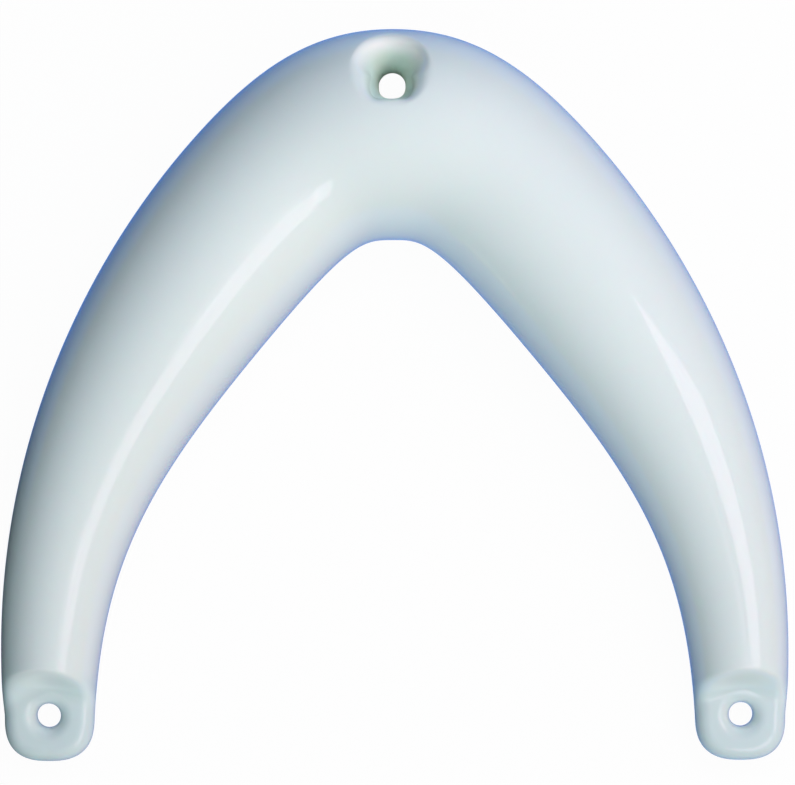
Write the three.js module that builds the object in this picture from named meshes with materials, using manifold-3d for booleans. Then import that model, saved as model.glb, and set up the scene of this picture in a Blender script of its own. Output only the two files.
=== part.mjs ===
import * as THREE from 'three';
import { mergeVertices } from 'three/addons/utils/BufferGeometryUtils.js';
import Module from 'manifold-3d';

// A bow fender in millimetres: one sealed PVC moulding in the shape of a pointed arch. Its fat round bend
// goes over the stem of a boat, and two arms taper from it to flat lugs. Each lug has a rounded eye, and a
// flared throat goes through the bend, so that three lines hold the fender.
// The arch is drawn flat: x runs across the arms, y points out of the bend, where it starts at 0, and z rises
// from the middle plane. The finished arch is then laid down as it comes to rest, +Z up.

// Arch, from above
const span = 348.6;
const archLength = 323.6;
const bendDepth = 93;

// Outer edge: level at the crown, falling at the hip, upright at the widest place, in a little at the lug
const outerCrownPull = 35;
const outerHip = { x: 91.2, y: -51.6, fallDegrees: 49, pullBefore: 47, pullAfter: 44 };
const widest = { fromTip: 48.7, pull: 113.5 };
const neckPull = { arm: 22, lug: 5 };

// Inner edge: a tight curve under the crown, then nearly straight to the lug
const innerCrownPull = 13;
const innerHip = { x: 60.2, y: -142.7, fallDegrees: 50.3, pullBefore: 65, pullAfter: 78.5 };
const innerLugPull = 83;

// Lugs
const lugOuterX = 172.9;
const lugInnerX = 133.5;
const lugThickness = 13;
const lugEndReach = 18.7;
const lugEndSquareness = 2.6;
const shoulder = { fromTip: 42.4, length: 12.7, droop: 7.7, softness: 1.3 };
const eyeRadius = 5.3;
const eyeRounding = 6;
const eyeFromTip = 20.3;

// Throat through the bend
const throatFromEdge = 24.6;
const throatRadius = 5.9;
const throatSpread = 0.224;
const throatSquareness = 2.5;
const throatFlat = { reach: 6.5, spread: 0.088, sharpness: 12 };
const mouthReach = { side: 16.6, lean: 3.4 };
const mouthDepth = { side: 28, lean: 12.5, curve: 2.5 };

// Facets
const stepsRoundTube = 36;
const armStations = 30;
const shoulderStations = 7;
const faceStations = 3;
const endStations = 8;
const stepsRoundMouth = 32;
const lipSteps = 6;
const throatSteps = 3;
const stepsRoundEye = 24;
const eyeArcSteps = 5;
const searchSteps = 40;

const moulding = new THREE.MeshStandardMaterial({ color: 0xdde6e8, roughness: 0.2, metalness: 0 });

const wasm = await Module();
wasm.setup();

const fullTurn = Math.PI * 2;
const quarterTurn = Math.PI / 2;
const lugEndStart = archLength - lugEndReach;
const shoulderTop = archLength - shoulder.fromTip;
const shoulderFoot = shoulderTop + shoulder.length;

// An edge of the right arm, as a smooth path of curves in the middle plane
function flat(x, y) {
  return new THREE.Vector3(x, y, 0);
}

function fallingFrom(point, degrees, distance) {
  const angle = THREE.MathUtils.degToRad(degrees);
  return flat(point.x + distance * Math.cos(angle), point.y - distance * Math.sin(angle));
}

function outerEdge() {
  const { x, y, fallDegrees, pullBefore, pullAfter } = outerHip;
  const hip = flat(x, y);
  const widestY = widest.fromTip - archLength;
  const edge = new THREE.CurvePath();
  edge.add(new THREE.CubicBezierCurve3(
    flat(0, 0),
    flat(outerCrownPull, 0),
    fallingFrom(hip, fallDegrees, -pullBefore),
    hip,
  ));
  edge.add(new THREE.CubicBezierCurve3(
    hip,
    fallingFrom(hip, fallDegrees, pullAfter),
    flat(span / 2, widestY + widest.pull),
    flat(span / 2, widestY),
  ));
  edge.add(new THREE.CubicBezierCurve3(
    flat(span / 2, widestY),
    flat(span / 2, widestY - neckPull.arm),
    flat(lugOuterX, -lugEndStart + neckPull.lug),
    flat(lugOuterX, -lugEndStart),
  ));
  edge.add(new THREE.LineCurve3(flat(lugOuterX, -lugEndStart), flat(lugOuterX, -archLength)));
  return edge;
}

function innerEdge() {
  const { x, y, fallDegrees, pullBefore, pullAfter } = innerHip;
  const hip = flat(x, y);
  const edge = new THREE.CurvePath();
  edge.add(new THREE.CubicBezierCurve3(
    flat(0, -bendDepth),
    flat(innerCrownPull, -bendDepth),
    fallingFrom(hip, fallDegrees, -pullBefore),
    hip,
  ));
  edge.add(new THREE.CubicBezierCurve3(
    hip,
    fallingFrom(hip, fallDegrees, pullAfter),
    flat(lugInnerX, -archLength + innerLugPull),
    flat(lugInnerX, -archLength),
  ));
  return edge;
}

const outer = outerEdge();
const inner = innerEdge();

// Halves a range again and again until it closes on the place where a test turns from true to false
function lastPlaceWhere(test, low, high) {
  for (let step = 0; step < searchSteps; step += 1) {
    const middle = (low + high) / 2;
    if (test(middle)) low = middle;
    else high = middle;
  }
  return low;
}

// The section that starts at a share of the outer edge. It meets both edges at the same angle.
function sectionAt(share) {
  const outside = outer.getPoint(share);
  const heading = outer.getTangent(share);
  const facesAhead = (place) => {
    const chord = outside.clone().sub(inner.getPoint(place));
    return chord.dot(heading.clone().add(inner.getTangent(place))) > 0;
  };
  const inside = inner.getPoint(lastPlaceWhere(facesAhead, 0, 1));
  const middle = outside.clone().add(inside).multiplyScalar(0.5);
  const reach = outside.clone().sub(inside).multiplyScalar(0.5);
  return { outside, inside, middle, reach, radius: reach.length() };
}

// Rises smoothly from 0 to 1 over the shoulder, and ends more gently than it starts
function shoulderDrop(pastTop) {
  const left = THREE.MathUtils.clamp(1 - pastTop / shoulder.length, 0, 1);
  const share = 1 - Math.pow(left, shoulder.softness);
  return share * share * (3 - 2 * share);
}

// How much narrower the lug is at its rounded end: 1 on its straight sides and 0 at the tip
function endNarrowing(y) {
  const along = THREE.MathUtils.clamp((-y - lugEndStart) / lugEndReach, 0, 1);
  return Math.pow(1 - Math.pow(along, lugEndSquareness), 1 / lugEndSquareness);
}

// Height of the lug's skin above the middle plane: flat on top, with a full round along its edge
function lugHeight(across, section) {
  const along = THREE.MathUtils.clamp((-section.middle.y - lugEndStart) / lugEndReach, 0, 1);
  const outward = Math.pow(
    Math.pow(Math.abs(across), lugEndSquareness) + Math.pow(along, lugEndSquareness),
    1 / lugEndSquareness,
  );
  const rounding = lugThickness / 2;
  const fromEdge = THREE.MathUtils.clamp((1 - outward) * section.radius, 0, rounding);
  return Math.sqrt(rounding * rounding - (rounding - fromEdge) * (rounding - fromEdge));
}

// Height of the upper skin at a share of the section's half width. The round arm drops to the flat lug at
// the shoulder, and the drop comes later towards the arm's sides.
function skinHeight(across, section) {
  const round = section.radius * Math.sqrt(Math.max(0, 1 - across * across));
  const top = shoulderTop + shoulder.droop * across * across;
  return THREE.MathUtils.lerp(round, lugHeight(across, section), shoulderDrop(-section.middle.y - top));
}

// One ring of points round the section
function tubeRing(section) {
  const ring = [];
  for (let step = 0; step < stepsRoundTube; step += 1) {
    const turn = (fullTurn * step) / stepsRoundTube;
    const across = Math.cos(turn) * endNarrowing(section.middle.y);
    const point = section.middle.clone().addScaledVector(section.reach, across);
    point.z = Math.sign(Math.sin(turn)) * skinHeight(across, section);
    ring.push(point);
  }
  return ring;
}

function shareAtY(y) {
  return lastPlaceWhere((share) => outer.getPoint(share).y > y, 0, 1);
}

// Stations along the right arm, closer together on the shoulder and towards the tip
function armShares() {
  const shoulderShare = shareAtY(-shoulderTop);
  const shares = [];
  for (let station = 0; station < armStations; station += 1) {
    shares.push((shoulderShare * station) / armStations);
  }
  for (let station = 0; station < shoulderStations; station += 1) {
    const share = station / shoulderStations;
    shares.push(shareAtY(-THREE.MathUtils.lerp(shoulderTop, shoulderFoot, share)));
  }
  for (let station = 0; station < faceStations; station += 1) {
    const share = station / faceStations;
    shares.push(shareAtY(-THREE.MathUtils.lerp(shoulderFoot, lugEndStart, share)));
  }
  for (let station = 0; station < endStations; station += 1) {
    const along = Math.sin((quarterTurn * station) / endStations);
    shares.push(shareAtY(-(lugEndStart + lugEndReach * along)));
  }
  return shares;
}

// A closed skin over rings of points, with a pole beyond its first and last ring
function ringSolid(rings, firstPole, lastPole) {
  const ringSize = rings[0].length;
  const points = [...rings.flat(), firstPole, lastPole];
  const first = points.length - 2;
  const last = points.length - 1;
  const at = (ring, step) => ring * ringSize + (step % ringSize);
  const faces = [];
  for (let step = 0; step < ringSize; step += 1) {
    faces.push(first, at(0, step + 1), at(0, step));
    for (let ring = 0; ring + 1 < rings.length; ring += 1) {
      faces.push(at(ring, step), at(ring, step + 1), at(ring + 1, step + 1));
      faces.push(at(ring, step), at(ring + 1, step + 1), at(ring + 1, step));
    }
    faces.push(last, at(rings.length - 1, step), at(rings.length - 1, step + 1));
  }
  const positions = points.flatMap((point) => point.toArray());
  return solidFrom(new Float32Array(positions), new Uint32Array(faces));
}

function solidFrom(positions, faces) {
  const mesh = new wasm.Mesh({ numProp: 3, vertProperties: positions, triVerts: faces });
  return new wasm.Manifold(mesh);
}

function archSolid() {
  const sections = armShares().map(sectionAt);
  const right = sections.map(tubeRing);
  const mirrored = (point) => new THREE.Vector3(-point.x, point.y, point.z);
  const left = right.slice(1).map((ring) => ring.map(mirrored)).reverse();
  const tip = sectionAt(1).middle;
  return ringSolid([...left, ...right], mirrored(tip), tip);
}

// Height of the bend's skin over a point of the middle plane. The bend lies within half of the outer edge.
function bendHeight(x, y) {
  const point = flat(Math.abs(x), y);
  const isAhead = (share) => {
    const { inside, outside } = sectionAt(share);
    const chord = outside.sub(inside);
    const spoke = point.clone().sub(inside);
    return chord.x * spoke.y - chord.y * spoke.x < 0;
  };
  const section = sectionAt(lastPlaceWhere(isAhead, 0, 0.5));
  const across = point.clone().sub(section.middle).dot(section.reach) / section.reach.lengthSq();
  return skinHeight(across, section);
}

// Radius of the throat's wall in one direction. Towards the inside of the bend it is squarer, flat and steep.
function throatWall(direction, z) {
  const outwards = Math.sin(direction);
  const { reach, spread, sharpness } = throatFlat;
  const corners = Math.hypot(
    Math.pow(Math.abs(Math.cos(direction)), throatSquareness / 2),
    Math.pow(Math.abs(outwards), throatSquareness / 2),
  );
  const squarer = outwards < 0 ? Math.pow(corners, -2 / throatSquareness) : 1;
  const roundWall = Math.hypot(throatRadius, throatSpread * z) * squarer;
  const flatWall = (reach + spread * z) / Math.max(-outwards, 0.1);
  return Math.pow(Math.pow(roundWall, -sharpness) + Math.pow(flatWall, -sharpness), -1 / sharpness);
}

// Side view of the throat in one direction, from the middle plane up to its mouth in the skin. The wall
// opens slowly, and a rounded lip leads from it to the skin, wider on the outside of the bend.
function throatProfile(direction) {
  const outwards = Math.sin(direction);
  const reach = mouthReach.side + mouthReach.lean * outwards;
  const wallTop = mouthDepth.side - mouthDepth.lean * outwards + mouthDepth.curve * outwards * outwards;
  const heightAt = (radius) => bendHeight(
    radius * Math.cos(direction),
    -throatFromEdge + radius * outwards,
  );
  const profile = [];
  for (let step = 0; step <= throatSteps; step += 1) {
    const z = (wallTop * step) / throatSteps;
    profile.push(new THREE.Vector2(throatWall(direction, z), z));
  }
  const wallEnd = profile.at(-1);
  const rim = new THREE.Vector2(reach, heightAt(reach));
  const skinSlope = heightAt(reach + 0.5) - heightAt(reach - 0.5);
  const wallSlope = 1 / (throatWall(direction, wallTop + 0.5) - throatWall(direction, wallTop - 0.5));
  const wallAtAxis = wallEnd.y - wallSlope * wallEnd.x;
  const skinAtAxis = rim.y - skinSlope * rim.x;
  const cornerRadius = (skinAtAxis - wallAtAxis) / (wallSlope - skinSlope);
  const corner = new THREE.Vector2(cornerRadius, skinAtAxis + skinSlope * cornerRadius);
  const lip = new THREE.QuadraticBezierCurve(wallEnd, corner, rim);
  profile.push(...lip.getPoints(lipSteps).slice(1));
  profile.push(new THREE.Vector2(reach, bendDepth));
  return profile;
}

// The air in the throat, from above the upper mouth to below the lower one
function throatAir() {
  const profiles = [];
  for (let step = 0; step < stepsRoundMouth; step += 1) {
    profiles.push(throatProfile((fullTurn * step) / stepsRoundMouth));
  }
  const ring = (level, side) => profiles.map((profile, step) => {
    const direction = (fullTurn * step) / stepsRoundMouth;
    const { x: radius, y: height } = profile[level];
    return new THREE.Vector3(
      radius * Math.cos(direction),
      -throatFromEdge + radius * Math.sin(direction),
      side * height,
    );
  });
  const levels = profiles[0].length;
  const rings = [];
  for (let level = levels - 1; level > 0; level -= 1) rings.push(ring(level, -1));
  for (let level = 0; level < levels; level += 1) rings.push(ring(level, 1));
  const pole = (height) => new THREE.Vector3(0, -throatFromEdge, height);
  return ringSolid(rings, pole(-bendDepth), pole(bendDepth));
}

// The air in a lug's eye: a short straight land with a round lip on both faces
function eyeAir(x) {
  const face = lugThickness / 2;
  const above = bendDepth / 2;
  const upper = [];
  for (let step = 0; step <= eyeArcSteps; step += 1) {
    const turn = (quarterTurn * step) / eyeArcSteps;
    const radius = eyeRadius + eyeRounding * (1 - Math.cos(turn));
    upper.push(new THREE.Vector2(radius, face - eyeRounding * (1 - Math.sin(turn))));
  }
  const widestRadius = eyeRadius + eyeRounding;
  upper.push(new THREE.Vector2(widestRadius, above), new THREE.Vector2(0, above));
  const lower = upper.map((point) => new THREE.Vector2(point.x, -point.y)).reverse();
  const lathe = new THREE.LatheGeometry([...lower, ...upper], stepsRoundEye);
  lathe.rotateX(quarterTurn);
  lathe.translate(x, -archLength + eyeFromTip, 0);
  lathe.deleteAttribute('normal');
  lathe.deleteAttribute('uv');
  const merged = mergeVertices(lathe);
  return solidFrom(new Float32Array(merged.attributes.position.array), new Uint32Array(merged.index.array));
}

function fenderGeometry() {
  const lugX = (lugOuterX + lugInnerX) / 2;
  const solid = archSolid().subtract(throatAir()).subtract(eyeAir(lugX)).subtract(eyeAir(-lugX));
  const mesh = solid.getMesh();
  const geometry = new THREE.BufferGeometry();
  geometry.setAttribute('position', new THREE.BufferAttribute(mesh.vertProperties, 3));
  geometry.setIndex(new THREE.BufferAttribute(mesh.triVerts, 1));
  geometry.computeVertexNormals();
  return geometry;
}

// Laid on a level floor, the fender rests on the underside of its bend and of both arms. The tilt is the one
// at which its lowest point passes from the bend to the arms.
function restingTilt(geometry) {
  const position = geometry.attributes.position;
  const restsOnBend = (tilt) => {
    let lowest = { y: 0, height: Infinity };
    for (let index = 0; index < position.count; index += 1) {
      const y = position.getY(index);
      const height = y * Math.sin(tilt) + position.getZ(index) * Math.cos(tilt);
      if (height < lowest.height) lowest = { y, height };
    }
    return lowest.y > -archLength / 2;
  };
  return lastPlaceWhere(restsOnBend, 0, quarterTurn / 2);
}

const fender = new THREE.Mesh(fenderGeometry(), moulding);
fender.name = 'fender';

const group = new THREE.Group();
group.add(fender);
group.rotation.x = restingTilt(fender.geometry);
group.updateMatrixWorld(true);
const box = new THREE.Box3().setFromObject(group, true);
group.position.set(0, -(box.min.y + box.max.y) / 2, -box.min.z);
group.updateMatrixWorld(true);

export default group;
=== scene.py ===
import math

import bmesh
import bpy
import numpy as np
from mathutils import Matrix, Vector


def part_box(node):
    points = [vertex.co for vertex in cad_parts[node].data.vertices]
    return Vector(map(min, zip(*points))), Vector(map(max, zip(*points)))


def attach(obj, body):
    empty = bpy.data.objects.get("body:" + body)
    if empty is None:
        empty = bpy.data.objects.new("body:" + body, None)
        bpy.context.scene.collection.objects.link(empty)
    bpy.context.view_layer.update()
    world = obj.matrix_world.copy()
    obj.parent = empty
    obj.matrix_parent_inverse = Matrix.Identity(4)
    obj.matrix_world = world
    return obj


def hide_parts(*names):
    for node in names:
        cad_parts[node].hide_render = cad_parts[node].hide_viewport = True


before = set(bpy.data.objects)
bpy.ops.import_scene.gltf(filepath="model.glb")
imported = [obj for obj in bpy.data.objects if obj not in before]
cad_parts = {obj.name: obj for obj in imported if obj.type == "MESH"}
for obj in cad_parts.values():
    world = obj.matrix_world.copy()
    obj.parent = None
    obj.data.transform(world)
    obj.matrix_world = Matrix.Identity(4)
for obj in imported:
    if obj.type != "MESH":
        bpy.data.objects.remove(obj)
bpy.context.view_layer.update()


# Fender
# One hollow moulding of soft white PVC in the shape of a pointed arch, made in a mould of two like halves.
# Its fat round bend goes over the stem of a boat, and two arms taper from it to flat lugs. A rounded eye in
# each lug and a flared throat through the bend take the lines that hold it.

# The moulding is drawn in millimetres, flat: x across the arms, y out of the bend, where it starts at 0,
# and z up from the middle plane. It is laid down in metres at the end.
MM = 0.001

OUTER_EDGE = [
    [(0, 0), (35, 0), (60.37, -16.13), (91.2, -51.6)],
    [(91.2, -51.6), (120.07, -84.81), (174.3, -161.4), (174.3, -274.9)],
    [(174.3, -274.9), (174.3, -296.9), (172.9, -299.9), (172.9, -304.9)],
    [(172.9, -304.9), (172.9, -311.1), (172.9, -317.4), (172.9, -323.6)],
]
INNER_EDGE = [
    [(0, -93), (13, -93), (18.68, -92.69), (60.2, -142.7)],
    [(60.2, -142.7), (110.34, -203.1), (133.5, -240.6), (133.5, -323.6)],
]
CURVE_STEPS = 500

LUG_END = 304.9
LUG_END_REACH = 18.7
LUG_END_SQUARENESS = 2.6
LUG_THICKNESS = 13
SHOULDER_TOP = 280.4
SHOULDER_LENGTH = 15
SHOULDER_DROOP = 7.7
SHOULDER_SOFTNESS = 1.3


def curve(corners):
    """Points along a cubic curve and its direction at each of them, without its last point."""
    a, b, c, d = (np.array(corner, float) for corner in corners)
    t = (np.arange(CURVE_STEPS) / CURVE_STEPS)[:, None]
    points = (1 - t) ** 3 * a + 3 * (1 - t) ** 2 * t * b + 3 * (1 - t) * t**2 * c + t**3 * d
    heading = (1 - t) ** 2 * (b - a) + 2 * (1 - t) * t * (c - b) + t**2 * (d - c)
    return points, heading / np.linalg.norm(heading, axis=1, keepdims=True)


def edge(curves):
    """Points and directions along a whole edge of the right arm, down to its tip."""
    points, headings = zip(*(curve(corners) for corners in curves))
    tip = np.array([curves[-1][-1]], float)
    return np.vstack([*points, tip]), np.vstack([*headings, [(0, -1)]])


def find_inner_partners(outer, outer_heading, inner, inner_heading):
    """For each outer point the inner point whose chord meets both edges at the same angle."""
    partners = []
    for point, heading in zip(outer, outer_heading):
        ahead = np.einsum("ij,ij->i", point - inner, heading + inner_heading)
        after = int(np.argmax(ahead <= 0)) if ahead[-1] < 0 else len(inner) - 1
        before = max(after - 1, 0)
        drop = ahead[before] - ahead[after]
        share = ahead[before] / drop if drop > 0 else 0
        partners.append(inner[before] + share * (inner[after] - inner[before]))
    return np.array(partners)


outer, outer_heading = edge(OUTER_EDGE)
inner = find_inner_partners(outer, outer_heading, *edge(INNER_EDGE))
outer_length = np.concatenate([[0], np.cumsum(np.linalg.norm(np.diff(outer, axis=0), axis=1))])
middle_y = (outer[:, 1] + inner[:, 1]) / 2


def section(length):
    """Middle, half chord and radius of the section at a length along the outer edge."""
    def between(values):
        return np.interp(np.abs(length), outer_length, values)

    outside = np.stack([between(outer[:, 0]), between(outer[:, 1])], axis=-1)
    inside = np.stack([between(inner[:, 0]), between(inner[:, 1])], axis=-1)
    reach = (outside - inside) / 2
    return (outside + inside) / 2, reach, np.linalg.norm(reach, axis=-1)


def smooth_step(share):
    """Eases a share from 0 to 1 in and out."""
    return share**2 * (3 - 2 * share)


def shoulder_drop(past_top):
    """Rises smoothly from 0 to 1 over the shoulder, and ends more gently than it starts."""
    left = np.clip(1 - past_top / SHOULDER_LENGTH, 0, 1)
    return smooth_step(1 - left**SHOULDER_SOFTNESS)


def end_narrowing(down):
    """How much narrower the lug is at its rounded end: 1 on its straight sides and 0 at the tip."""
    along = np.clip((down - LUG_END) / LUG_END_REACH, 0, 1)
    return (1 - along**LUG_END_SQUARENESS) ** (1 / LUG_END_SQUARENESS)


def skin_height(across, radius, down):
    """Height of the skin at a share of the half width. The round arm drops to the lug at the shoulder."""
    along = np.clip((down - LUG_END) / LUG_END_REACH, 0, 1)
    power = LUG_END_SQUARENESS
    outward = (np.abs(across) ** power + along**power) ** (1 / power)
    rounding = LUG_THICKNESS / 2
    from_edge = np.clip((1 - outward) * radius, 0, rounding)
    lug = np.sqrt(rounding**2 - (rounding - from_edge) ** 2)
    arm = radius * np.sqrt(np.clip(1 - across**2, 0, 1))
    drop = shoulder_drop(down - SHOULDER_TOP - SHOULDER_DROOP * across**2)
    return arm + (lug - arm) * drop


def skin(length, turn):
    """Points of the skin. A length along the outer edge is less than 0 on the left arm, and a turn round
    the section is 0 at its outer edge and less than half a turn on the upper side."""
    length, turn = np.broadcast_arrays(np.asarray(length, float), np.asarray(turn, float))
    middle, reach, radius = section(length)
    across = np.cos(turn) * end_narrowing(-middle[..., 1])
    plan = middle + reach * across[..., None]
    height = np.sign(np.sin(turn)) * skin_height(across, radius, -middle[..., 1])
    return np.stack([np.sign(length) * plan[..., 0], plan[..., 1], height], axis=-1)


def place_on_skin(plan):
    """Length along the outer edge and turn round the section of the skin over points of the middle plane."""
    lengths, turns = [], []
    chord = outer - inner
    for x, y in plan:
        spoke = np.array([abs(x), y]) - inner
        behind = chord[:, 0] * spoke[:, 1] - chord[:, 1] * spoke[:, 0]
        after = int(np.argmax(behind > 0))
        before = max(after - 1, 0)
        step = behind[after] - behind[before]
        share = -behind[before] / step if step > 0 else 0
        length = outer_length[before] + share * (outer_length[after] - outer_length[before])
        middle, reach, radius = section(length)
        across = np.dot(np.array([abs(x), y]) - middle, reach) / radius**2
        lengths.append(math.copysign(length, x))
        turns.append(math.acos(np.clip(across / end_narrowing(-middle[1]), -1, 1)))
    return np.array(lengths), np.array(turns)


# Rings of points round the arms, closer together on the shoulder and towards the tips.
STEPS_ROUND = 96
ARM_RINGS = 150
SHOULDER_RINGS = 40
FACE_RINGS = 4
END_RINGS = 20


def length_at(down):
    """Length along the outer edge of the sections whose middle is that far down the arch."""
    return np.interp(down, -middle_y, outer_length)


arm_lengths = np.linspace(0, length_at(SHOULDER_TOP), ARM_RINGS, endpoint=False)
shoulder_foot = SHOULDER_TOP + SHOULDER_LENGTH + SHOULDER_DROOP
shoulder_lengths = length_at(np.linspace(SHOULDER_TOP, shoulder_foot, SHOULDER_RINGS, endpoint=False))
face_lengths = length_at(np.linspace(shoulder_foot, LUG_END, FACE_RINGS, endpoint=False))
end_angles = np.arange(END_RINGS) / END_RINGS * math.pi / 2
end_lengths = length_at(LUG_END + LUG_END_REACH * np.sin(end_angles))
right_lengths = np.concatenate([arm_lengths, shoulder_lengths, face_lengths, end_lengths])
ring_lengths = np.concatenate([-right_lengths[:0:-1], right_lengths])
step_turns = np.arange(STEPS_ROUND) * 2 * math.pi / STEPS_ROUND

grid = skin(ring_lengths[:, None], step_turns[None, :])
mould = bmesh.new()
vertices = {}


def vertex_at(ring, step):
    """The vertex of the skin at a ring and a step round it, made when it is first asked for."""
    place = (ring, step % STEPS_ROUND)
    if place not in vertices:
        vertices[place] = mould.verts.new(grid[place])
    return vertices[place]


def block_border(first_ring, last_ring, first_step, last_step):
    """Places round a block of the upper skin, in order."""
    border = [(ring, first_step) for ring in range(first_ring, last_ring)]
    border += [(last_ring, step) for step in range(first_step, last_step)]
    border += [(ring, last_step) for ring in range(last_ring, first_ring, -1)]
    border += [(first_ring, step) for step in range(last_step, first_step, -1)]
    return border


# Throat through the bend and eyes in the lugs. A block of the skin round each is left out, and rings of
# points lead from its border to the rim, over the lip and down the wall.
PATCH_RINGS = 9
THROAT_CENTRE = np.array([0, -24.6])
THROAT_RADIUS = 5.9
THROAT_RADIUS_INSIDE = 6.6
THROAT_SPREAD = 0.224
THROAT_SQUARENESS = 2.5
THROAT_FLAT = 6.6
THROAT_FLAT_SPREAD = 0.085
FLAT_SHARPNESS = 24
LEAST_FACING = 0.1
THROAT_FLARE = 3.7
FLARE_HEIGHT = 18
FLARE_POWER = 4
MOUTH_REACH = 18
MOUTH_REACH_LEAN = 3.4
WALL_TOP = 28
WALL_TOP_LEAN = 12.5
WALL_TOP_CURVE = 2.5
LIP_RINGS = 16
WALL_RINGS = 12
SLOPE_STEP = 1
MOUTH_BLOCK_REACH = 30
MOUTH_BLOCK_TURNS = (15, 97.5)
EYE_CENTRE = np.array([153.2, -303.3])
EYE_RADIUS = 5.3
EYE_ROUNDING = 6
EYE_LAND = 0.5
EYE_RINGS = 14
EYE_BLOCK_DOWN = (288.4, 317.5)
EYE_BLOCK_TURNS = (30, 150)


def direction_of(angle):
    """Direction in the middle plane for each angle."""
    return np.stack([np.cos(angle), np.sin(angle)], axis=-1)


def upright(plan, height):
    """Points above places in the middle plane."""
    return np.concatenate([plan, height[:, None]], axis=1)


def skin_over(plan):
    """Height of the skin over places in the middle plane."""
    return skin(*place_on_skin(plan))[:, 2]


def throat_wall(angle, height):
    """Radius of the throat's wall. Towards the inside of the bend the wall is squarer, flat and steep, and
    towards the outside it flares."""
    outwards = np.sin(angle)
    inside = np.clip(-outwards, 0, 1) ** 2
    outside = np.clip(outwards, 0, 1) ** 2
    narrowest = THROAT_RADIUS + (THROAT_RADIUS_INSIDE - THROAT_RADIUS) * inside
    power = THROAT_SQUARENESS
    square = (np.abs(np.cos(angle)) ** power + np.abs(outwards) ** power) ** (-1 / power)
    round_wall = np.hypot(narrowest, THROAT_SPREAD * height) * np.where(outwards < 0, square, 1)
    round_wall += THROAT_FLARE * outside * (height / FLARE_HEIGHT) ** FLARE_POWER
    flat_wall = (THROAT_FLAT + THROAT_FLAT_SPREAD * height) / np.maximum(-outwards, LEAST_FACING)
    return (round_wall**-FLAT_SHARPNESS + flat_wall**-FLAT_SHARPNESS) ** (-1 / FLAT_SHARPNESS)


def mouth_reach(angle):
    """Radius at which the throat's lip starts on the skin."""
    return MOUTH_REACH + MOUTH_REACH_LEAN * np.sin(angle)


def wall_top_at(angle):
    """Height at which the lip has turned into the throat's wall."""
    return WALL_TOP - WALL_TOP_LEAN * np.sin(angle) + WALL_TOP_CURVE * np.sin(angle) ** 2


def throat_lip(angle, rim):
    """Rings from the throat's mouth over the lip and down the wall to the middle plane."""
    reach = mouth_reach(angle)
    wall_top = wall_top_at(angle)
    rim_height = rim[:, 2]
    step = SLOPE_STEP / 2
    further, nearer = (
        skin_over(THROAT_CENTRE + (reach + offset)[:, None] * direction_of(angle))
        for offset in (step, -step)
    )
    slope = (further - nearer) / SLOPE_STEP
    wall_radius = throat_wall(angle, wall_top)
    widening = throat_wall(angle, wall_top + step) - throat_wall(angle, wall_top - step)
    wall_slope = SLOPE_STEP / widening
    corner_radius = (rim_height - slope * reach - wall_top + wall_slope * wall_radius) / (wall_slope - slope)
    corner_height = rim_height + slope * (corner_radius - reach)
    rings = []
    for share in np.arange(1, LIP_RINGS + 1) / LIP_RINGS:
        weights = (1 - share) ** 2, 2 * share * (1 - share), share**2
        radius = weights[0] * reach + weights[1] * corner_radius + weights[2] * wall_radius
        height = weights[0] * rim_height + weights[1] * corner_height + weights[2] * wall_top
        rings.append(upright(THROAT_CENTRE + radius[:, None] * direction_of(angle), height))
    for share in np.arange(1, WALL_RINGS + 1) / WALL_RINGS:
        height = wall_top * (1 - share)
        radius = throat_wall(angle, height)
        rings.append(upright(THROAT_CENTRE + radius[:, None] * direction_of(angle), height))
    return rings


def eye_reach(angle):
    """Radius at which an eye's lip starts on the lug."""
    return np.full(len(angle), EYE_RADIUS + EYE_ROUNDING)


def eye_lip(centre):
    """Rings over the round lip of an eye, from its rim to the middle plane."""
    def rings_of(angle, rim):
        rings = []
        for share in np.arange(1, EYE_RINGS + 1) / EYE_RINGS:
            bend = math.pi / 2 * (1 - share)
            radius = EYE_RADIUS + EYE_ROUNDING * (1 - math.cos(bend))
            height = EYE_LAND + (rim[:, 2] - EYE_LAND) * math.sin(bend)
            rings.append(upright(centre + radius * direction_of(angle), height))
        rings.append(upright(centre + EYE_RADIUS * direction_of(angle), np.zeros(len(angle))))
        return rings

    return rings_of


def cut_opening(block, centre, reach_at, lip_rings):
    """Leaves a block out of both faces and joins its borders through the opening, ring by ring."""
    border = block_border(*block)
    length = np.array([ring_lengths[ring] for ring, step in border])
    turn = np.array([step_turns[step] for ring, step in border])
    offset = skin(length, turn)[:, :2] - centre
    angle = np.arctan2(offset[:, 1], offset[:, 0])
    rim_length, rim_turn = place_on_skin(centre + reach_at(angle)[:, None] * direction_of(angle))
    rings = []
    for share in np.arange(1, PATCH_RINGS + 1) / PATCH_RINGS:
        rings.append(skin(length + (rim_length - length) * share, turn + (rim_turn - turn) * share))
    rings += lip_rings(angle, rings[-1])
    upper = [[vertex_at(ring, step) for ring, step in border]]
    upper += [[mould.verts.new(point) for point in ring] for ring in rings]
    lower = [[vertex_at(ring, -step) for ring, step in border]]
    lower += [[mould.verts.new(point * (1, 1, -1)) for point in ring] for ring in rings[:-1]]
    loops = upper + lower[::-1]
    for first, second in zip(loops, loops[1:]):
        for step in range(len(border)):
            following = (step + 1) % len(border)
            mould.faces.new((first[step], first[following], second[following], second[step]))


def block_round(lengths, turns):
    """First and last ring and step of the skin between two lengths and two turns in degrees."""
    rings = [int(ring) for ring in np.searchsorted(ring_lengths, lengths)]
    steps = [round(turn * STEPS_ROUND / 360) for turn in turns]
    return (*rings, *steps)


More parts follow.
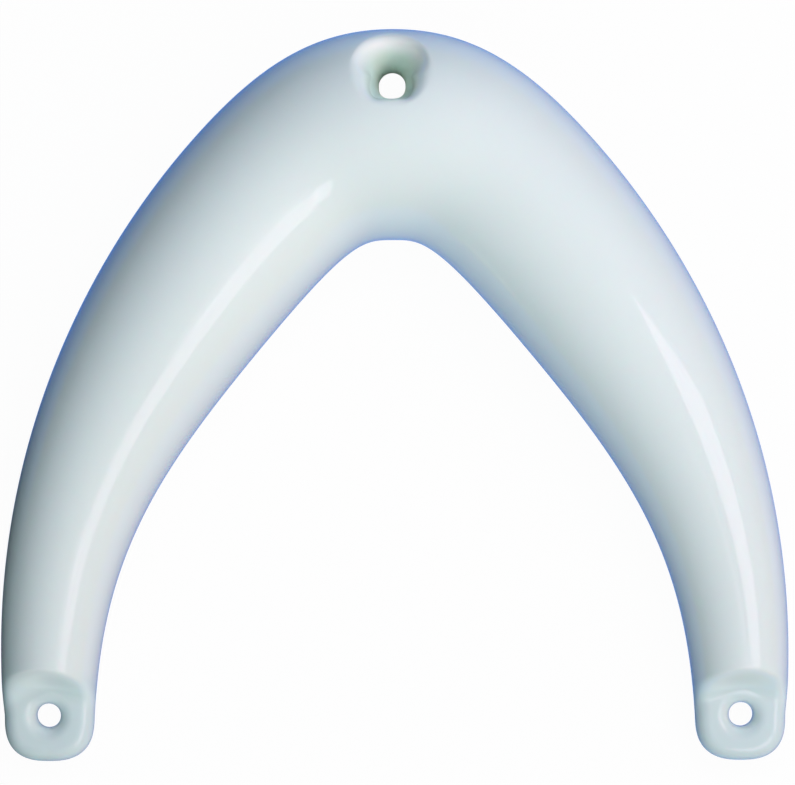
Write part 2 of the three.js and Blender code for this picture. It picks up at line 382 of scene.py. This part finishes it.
eye_block_start, eye_block_end = (length_at(down) for down in EYE_BLOCK_DOWN)
mouth_block = block_round((-MOUTH_BLOCK_REACH, MOUTH_BLOCK_REACH), MOUTH_BLOCK_TURNS)
right_eye_block = block_round((eye_block_start, eye_block_end), EYE_BLOCK_TURNS)
left_eye_block = block_round((-eye_block_end, -eye_block_start), EYE_BLOCK_TURNS)
blocks = [mouth_block, right_eye_block, left_eye_block]


def is_left_out(ring, step):
    """Whether a face of the upper skin lies in a block round an opening."""
    return any(
        first_ring <= ring < last_ring and first_step <= step < last_step
        for first_ring, last_ring, first_step, last_step in blocks
    )


for ring in range(len(ring_lengths) - 1):
    for step in range(STEPS_ROUND):
        step_below = STEPS_ROUND - 1 - step
        if is_left_out(ring, step) or is_left_out(ring, step_below):
            continue
        mould.faces.new((
            vertex_at(ring, step), vertex_at(ring + 1, step),
            vertex_at(ring + 1, step + 1), vertex_at(ring, step + 1),
        ))

tip = np.append((outer[-1] + inner[-1]) / 2, 0)
for ring, side in ((0, -1), (len(ring_lengths) - 1, 1)):
    pole = mould.verts.new(tip * (side, 1, 1))
    for step in range(STEPS_ROUND):
        mould.faces.new((pole, vertex_at(ring, step), vertex_at(ring, step + 1)))

cut_opening(mouth_block, THROAT_CENTRE, mouth_reach, throat_lip)
for block, side in ((right_eye_block, 1), (left_eye_block, -1)):
    centre = EYE_CENTRE * (side, 1)
    cut_opening(block, centre, eye_reach, eye_lip(centre))

bmesh.ops.recalc_face_normals(mould, faces=mould.faces)
for face in mould.faces:
    face.smooth = True

# The soft PVC lets light through. Its colour also holds painted shade and light: a green painted shade down
# the throat, painted light on the throat's outer lip and on the shoulders, and towards the lugs it is darker
# and more cyan than on the arms.
PVC_WHITE = np.array([0.80, 0.87, 0.86])
# Painted shade: the green that darkens the skin down the throat.
THROAT_PAINTED_SHADE = np.array([0.73, 0.84, 0.75])
# Painted light: the whiter colour on the throat's outer lip.
MOUTH_PAINTED_LIGHT = np.array([0.96, 0.98, 0.93])
LUG_TINT = np.array([0.89, 0.95, 0.97])
# Painted light: the lift that brightens the slope of each shoulder.
SHOULDER_PAINTED_LIGHT = 1.06
LUG_WIDTH = OUTER_EDGE[-1][-1][0] - INNER_EDGE[-1][-1][0]
PAINTED_SHADE_EDGE = 0.55
MOUTH_PAINTED_LIGHT_PEAK = 0.6
GLOSS = 0.8

points = np.array([vertex.co[:] for vertex in mould.verts])
from_throat = points[:, :2] - THROAT_CENTRE
angle_round = np.arctan2(from_throat[:, 1], from_throat[:, 0])
throat_edge = throat_wall(angle_round, wall_top_at(angle_round))
lip_width = mouth_reach(angle_round) - throat_edge
past_edge = (np.hypot(*from_throat.T) - throat_edge) / lip_width
# Share of the green painted shade, full down the throat and gone part way over the lip.
throat_painted_shade = smooth_step(1 - np.clip(past_edge / PAINTED_SHADE_EDGE, 0, 1))[:, None]
# Share of the painted light on the outer lip, highest part way over it.
from_painted_light_peak = np.abs(past_edge - MOUTH_PAINTED_LIGHT_PEAK) / MOUTH_PAINTED_LIGHT_PEAK
mouth_painted_light_share = (np.clip(1 - from_painted_light_peak, 0, 1) * np.clip(np.sin(angle_round), 0, 1))[:, None]
past_lug_middle = (np.abs(points[:, 0]) - EYE_CENTRE[0]) / (LUG_WIDTH / 2)
past_shoulder = -points[:, 1] - SHOULDER_TOP - SHOULDER_DROOP * past_lug_middle**2
# Share of the painted light over the slope of each shoulder.
shoulder_painted_light_share = np.sin(math.pi * np.clip(past_shoulder / SHOULDER_LENGTH, 0, 1))[:, None] ** 2
# Share of the darker, more cyan colour towards the lugs, past the shoulder's top.
lug_share = smooth_step(np.clip((-points[:, 1] - SHOULDER_TOP) / SHOULDER_LENGTH, 0, 1))[:, None]
# The PVC colour with the painted shade and painted light mixed in.
pvc_colours_and_painted_light = PVC_WHITE + (THROAT_PAINTED_SHADE - PVC_WHITE) * throat_painted_shade
pvc_colours_and_painted_light += (MOUTH_PAINTED_LIGHT - pvc_colours_and_painted_light) * mouth_painted_light_share
pvc_colours_and_painted_light *= 1 - (1 - LUG_TINT) * lug_share
pvc_colours_and_painted_light *= 1 + (SHOULDER_PAINTED_LIGHT - 1) * shoulder_painted_light_share

# It lies as it comes to rest, on the underside of its bend and of both arms, which tips its middle plane.
REST_TILT = math.radians(6.5201)
low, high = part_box("fender")
laid = Matrix.Rotation(REST_TILT, 4, "X") @ Matrix.Scale(MM, 4)
bmesh.ops.transform(mould, matrix=laid, verts=mould.verts)
bottom = min(vertex.co.z for vertex in mould.verts)
front = min(vertex.co.y for vertex in mould.verts)
back = max(vertex.co.y for vertex in mould.verts)
moved = (low.x + high.x) / 2, (low.y + high.y - front - back) / 2, low.z - bottom
placed = Matrix.Translation(moved)
bmesh.ops.transform(mould, matrix=placed, verts=mould.verts)
arch_to_floor = placed @ laid

fender_mesh = bpy.data.meshes.new("moulded fender")
mould.to_mesh(fender_mesh)
mould.free()
fender = bpy.data.objects.new("moulded_fender", fender_mesh)
bpy.context.scene.collection.objects.link(fender)

# The tint's fourth value is the gloss, which the skin loses down the throat.
# The tint holds the PVC colour with its painted shade and painted light.
tint = fender_mesh.color_attributes.new("pvc_colour_and_painted_light", "FLOAT_COLOR", "POINT")
tint.data.foreach_set("color", np.hstack([pvc_colours_and_painted_light, GLOSS * (1 - throat_painted_shade)]).ravel())

pvc = bpy.data.materials.new("soft white PVC")
pvc.use_nodes = True
skin_shader = pvc.node_tree.nodes["Principled BSDF"]
tint_here = pvc.node_tree.nodes.new("ShaderNodeAttribute")
tint_here.attribute_name = "pvc_colour_and_painted_light"
pvc.node_tree.links.new(tint_here.outputs["Color"], skin_shader.inputs["Base Color"])
pvc.node_tree.links.new(tint_here.outputs["Alpha"], skin_shader.inputs["Specular IOR Level"])
PVC_LOOK = {
    "Specular IOR Level": GLOSS,
    "Roughness": 0.05,
    "IOR": 1.53,
    "Subsurface Weight": 0.25,
    "Subsurface Radius": (0.5, 1.0, 0.8),
    "Subsurface Scale": 0.006,
}
for name, value in PVC_LOOK.items():
    skin_shader.inputs[name].default_value = value
fender_mesh.materials.append(pvc)

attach(fender, "root")
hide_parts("fender")


# Floor
# A plain white studio floor that the fender lies on. Looked at straight, or through the throat and the
# eyes, it glows white. In the fender's gloss it glows blue, but dark beside the lower left arm and far away.
FLOOR_SIZE = 6
PAINT_SEEN = (0.8, 0.8, 0.8)
PAINT_FOR_LIGHT = (0.12, 0.12, 0.12)
GLOW_SEEN_BY = {"Is Camera Ray": 0.97, "Is Glossy Ray": 0.8, "Is Transmission Ray": 0.97}
WHITE_GLOW = (1, 1, 1)
BLUE_GLOW_IN_GLOSS = (0.1, 0.32, 1)
DARK_GLOW_IN_GLOSS = (0.03, 0.06, 0.08)

# Places on the floor, in metres, between which the glow in the gloss turns dark: across, along and outwards.
DARK_BEYOND_X = (-0.12, -0.2)
DARK_BEYOND_Y = (0.06, -0.06)
GLOW_FADES = (0.25, 0.8)


def math_node(tree, operation, first, second):
    """Output of a math node. Each of its two inputs is another node's output or a number."""
    node = tree.nodes.new("ShaderNodeMath")
    node.operation = operation
    for socket, value in zip(node.inputs, (first, second)):
        if isinstance(value, bpy.types.NodeSocket):
            tree.links.new(value, socket)
        else:
            socket.default_value = value
    return node.outputs[0]


def share_between(tree, value, limits):
    """Output that rises smoothly from 0 at the first limit to 1 at the second."""
    node = tree.nodes.new("ShaderNodeMapRange")
    node.interpolation_type = "SMOOTHSTEP"
    node.inputs["From Min"].default_value = limits[0]
    node.inputs["From Max"].default_value = limits[1]
    tree.links.new(value, node.inputs["Value"])
    return node.outputs["Result"]


def colour_mix(tree, share, first, second):
    """Output that goes from the first colour to the second, which may be another node's output."""
    node = tree.nodes.new("ShaderNodeMix")
    node.data_type = "RGBA"
    node.inputs["A"].default_value = (*first, 1)
    if isinstance(second, bpy.types.NodeSocket):
        tree.links.new(second, node.inputs["B"])
    else:
        node.inputs["B"].default_value = (*second, 1)
    tree.links.new(share, node.inputs["Factor"])
    return node.outputs["Result"]


bpy.ops.mesh.primitive_plane_add(size=FLOOR_SIZE, location=(0, 0, 0))
floor = bpy.context.object
floor.name = "studio_floor"
floor_white = bpy.data.materials.new("white floor")
floor_white.use_nodes = True
floor_tree = floor_white.node_tree
floor_tree.nodes.clear()
seen = floor_tree.nodes.new("ShaderNodeLightPath")
place_on_floor = floor_tree.nodes.new("ShaderNodeTexCoord")
across_and_along = floor_tree.nodes.new("ShaderNodeSeparateXYZ")
floor_tree.links.new(place_on_floor.outputs["Object"], across_and_along.inputs[0])
distance = floor_tree.nodes.new("ShaderNodeVectorMath")
distance.operation = "LENGTH"
floor_tree.links.new(place_on_floor.outputs["Object"], distance.inputs[0])

dark_beyond_x = share_between(floor_tree, across_and_along.outputs["X"], DARK_BEYOND_X)
dark_beyond_y = share_between(floor_tree, across_and_along.outputs["Y"], DARK_BEYOND_Y)
dark_beside_arm = math_node(floor_tree, "MULTIPLY", dark_beyond_x, dark_beyond_y)
far_away = share_between(floor_tree, distance.outputs["Value"], GLOW_FADES)
dark_share = math_node(floor_tree, "MAXIMUM", dark_beside_arm, far_away)
glow_in_gloss = colour_mix(floor_tree, dark_share, BLUE_GLOW_IN_GLOSS, DARK_GLOW_IN_GLOSS)
glow_colour = colour_mix(floor_tree, seen.outputs["Is Glossy Ray"], WHITE_GLOW, glow_in_gloss)
glow = floor_tree.nodes.new("ShaderNodeEmission")
glow.inputs["Strength"].default_value = 1
floor_tree.links.new(glow_colour, glow.inputs["Color"])

paint_colour = colour_mix(floor_tree, seen.outputs["Is Camera Ray"], PAINT_FOR_LIGHT, PAINT_SEEN)
paint = floor_tree.nodes.new("ShaderNodeBsdfDiffuse")
floor_tree.links.new(paint_colour, paint.inputs["Color"])

share_of_glow = 0
for ray, share in GLOW_SEEN_BY.items():
    seen_by_ray = math_node(floor_tree, "MULTIPLY", seen.outputs[ray], share)
    share_of_glow = math_node(floor_tree, "MAXIMUM", share_of_glow, seen_by_ray)
paint_and_glow = floor_tree.nodes.new("ShaderNodeMixShader")
floor_tree.links.new(share_of_glow, paint_and_glow.inputs[0])
floor_tree.links.new(paint.outputs[0], paint_and_glow.inputs[1])
floor_tree.links.new(glow.outputs[0], paint_and_glow.inputs[2])
floor_output = floor_tree.nodes.new("ShaderNodeOutputMaterial")
floor_tree.links.new(paint_and_glow.outputs[0], floor_output.inputs["Surface"])
floor.data.materials.append(floor_white)


# Light
# A long softbox on the right, towards the lugs, with a narrower end and two panels beside it, makes the long
# streaks down both arms. Two fill lamps above and the low parts of the sky light the rest, and don't show in
# the gloss.
LIT_PLACE = Vector((0, 0, 0.045))

# Each lamp faces the lit place. Its values are its width and length, its roll in degrees, its place, its
# power, its colour and whether the fender's gloss shows it.
LAMPS = {
    "softbox": ((0.5, 0.68), -88.5, (0.894, -0.233, 1.035), 1.5, (1, 0.71, 0.85), True),
    "narrow end of the softbox": ((0.45, 0.46), -71.5, (0.574, -0.765, 0.96), 0.85, (1, 0.71, 0.85), True),
    "small panel": ((0.27, 0.28), -38.8, (0.386, -0.637, 1.164), 0.12, (1, 0.72, 0.88), True),
    "narrow panel": ((0.2, 0.42), 25.4, (0.317, -0.981, 1.019), 0.36, (1, 0.84, 1), True),
    "fill behind the bend": ((0.6, 0.6), 0, (0.45, 0.45, 0.9), 3.03, (1, 0.75, 0.71), False),
    "fill above": ((0.6, 0.6), 0, (0.15, 0.1, 0.9), 3.35, (0.78, 0.93, 1), False),
}

for name, (size, roll, place, power, colour, in_gloss) in LAMPS.items():
    lamp_data = bpy.data.lights.new(name, "AREA")
    lamp_data.shape = "RECTANGLE"
    lamp_data.size, lamp_data.size_y = size
    lamp_data.energy = power
    lamp_data.color = colour
    lamp = bpy.data.objects.new(name, lamp_data)
    bpy.context.scene.collection.objects.link(lamp)
    lamp.location = place
    aimed = (Vector(place) - LIT_PLACE).to_track_quat("Z", "Y").to_matrix()
    lamp.rotation_euler = (aimed @ Matrix.Rotation(math.radians(roll), 3, "Z")).to_euler()
    lamp.visible_glossy = in_gloss

# Colour of the low sky by the side that it lies on, in degrees from the right of the picture.
SKY_COLOURS = {0: (1.21, 0.57, 0), 45: (0, 0.77, 1.5), 270: (1.76, 2.13, 2.21)}
SKY_HEIGHT = math.radians(8)
SKY_NARROWNESS = 4

sky = bpy.data.worlds.new("studio")
sky.use_nodes = True
sky_tree = sky.node_tree


def vector_node(operation, first):
    """A vector node whose first input is another node's output."""
    node = sky_tree.nodes.new("ShaderNodeVectorMath")
    node.operation = operation
    sky_tree.links.new(first, node.inputs[0])
    return node


looking = sky_tree.nodes.new("ShaderNodeTexCoord").outputs["Generated"]
sky_colour = None
for side, colour in SKY_COLOURS.items():
    level = direction_of(math.radians(side)) * math.cos(SKY_HEIGHT)
    facing = vector_node("DOT_PRODUCT", looking)
    facing.inputs[1].default_value = (*level, math.sin(SKY_HEIGHT))
    in_front = math_node(sky_tree, "MAXIMUM", facing.outputs["Value"], 0)
    narrowed = math_node(sky_tree, "POWER", in_front, SKY_NARROWNESS)
    part = sky_tree.nodes.new("ShaderNodeVectorMath")
    part.operation = "SCALE"
    part.inputs[0].default_value = colour
    sky_tree.links.new(narrowed, part.inputs["Scale"])
    if sky_colour is None:
        sky_colour = part.outputs[0]
        continue
    joined = vector_node("ADD", sky_colour)
    sky_tree.links.new(part.outputs[0], joined.inputs[1])
    sky_colour = joined.outputs[0]
sky_tree.links.new(sky_colour, sky_tree.nodes["Background"].inputs["Color"])
sky.cycles_visibility.glossy = False
bpy.context.scene.world = sky


# Camera
# A long lens looks down on the fender, almost at a right angle to its middle plane. The aim is a place in
# the drawing of the moulding, in its millimetres, and the reach is in metres.
CAMERA_REACH = 1.25
AIM = Vector((1.9, -160.6, 0))
SENSOR_WIDTH = 36
LENS_LENGTH = 127.75
TURN_RIGHT = math.radians(0.7)
TURN_UP = math.radians(0.2)
ROLL = math.radians(-0.2)

lens = bpy.data.cameras.new("camera")
lens.sensor_width = SENSOR_WIDTH
lens.lens = LENS_LENGTH
camera = bpy.data.objects.new("camera", lens)
bpy.context.scene.collection.objects.link(camera)
facing_back = Matrix.Rotation(REST_TILT, 3, "X") @ Matrix.Rotation(TURN_RIGHT, 3, "Y")
facing_back = facing_back @ Matrix.Rotation(-TURN_UP, 3, "X") @ Matrix.Rotation(ROLL, 3, "Z")
camera.location = arch_to_floor @ AIM + facing_back @ Vector((0, 0, CAMERA_REACH))
camera.rotation_euler = facing_back.to_euler()
bpy.context.scene.camera = camera

bpy.context.scene.view_settings.view_transform = "Standard"
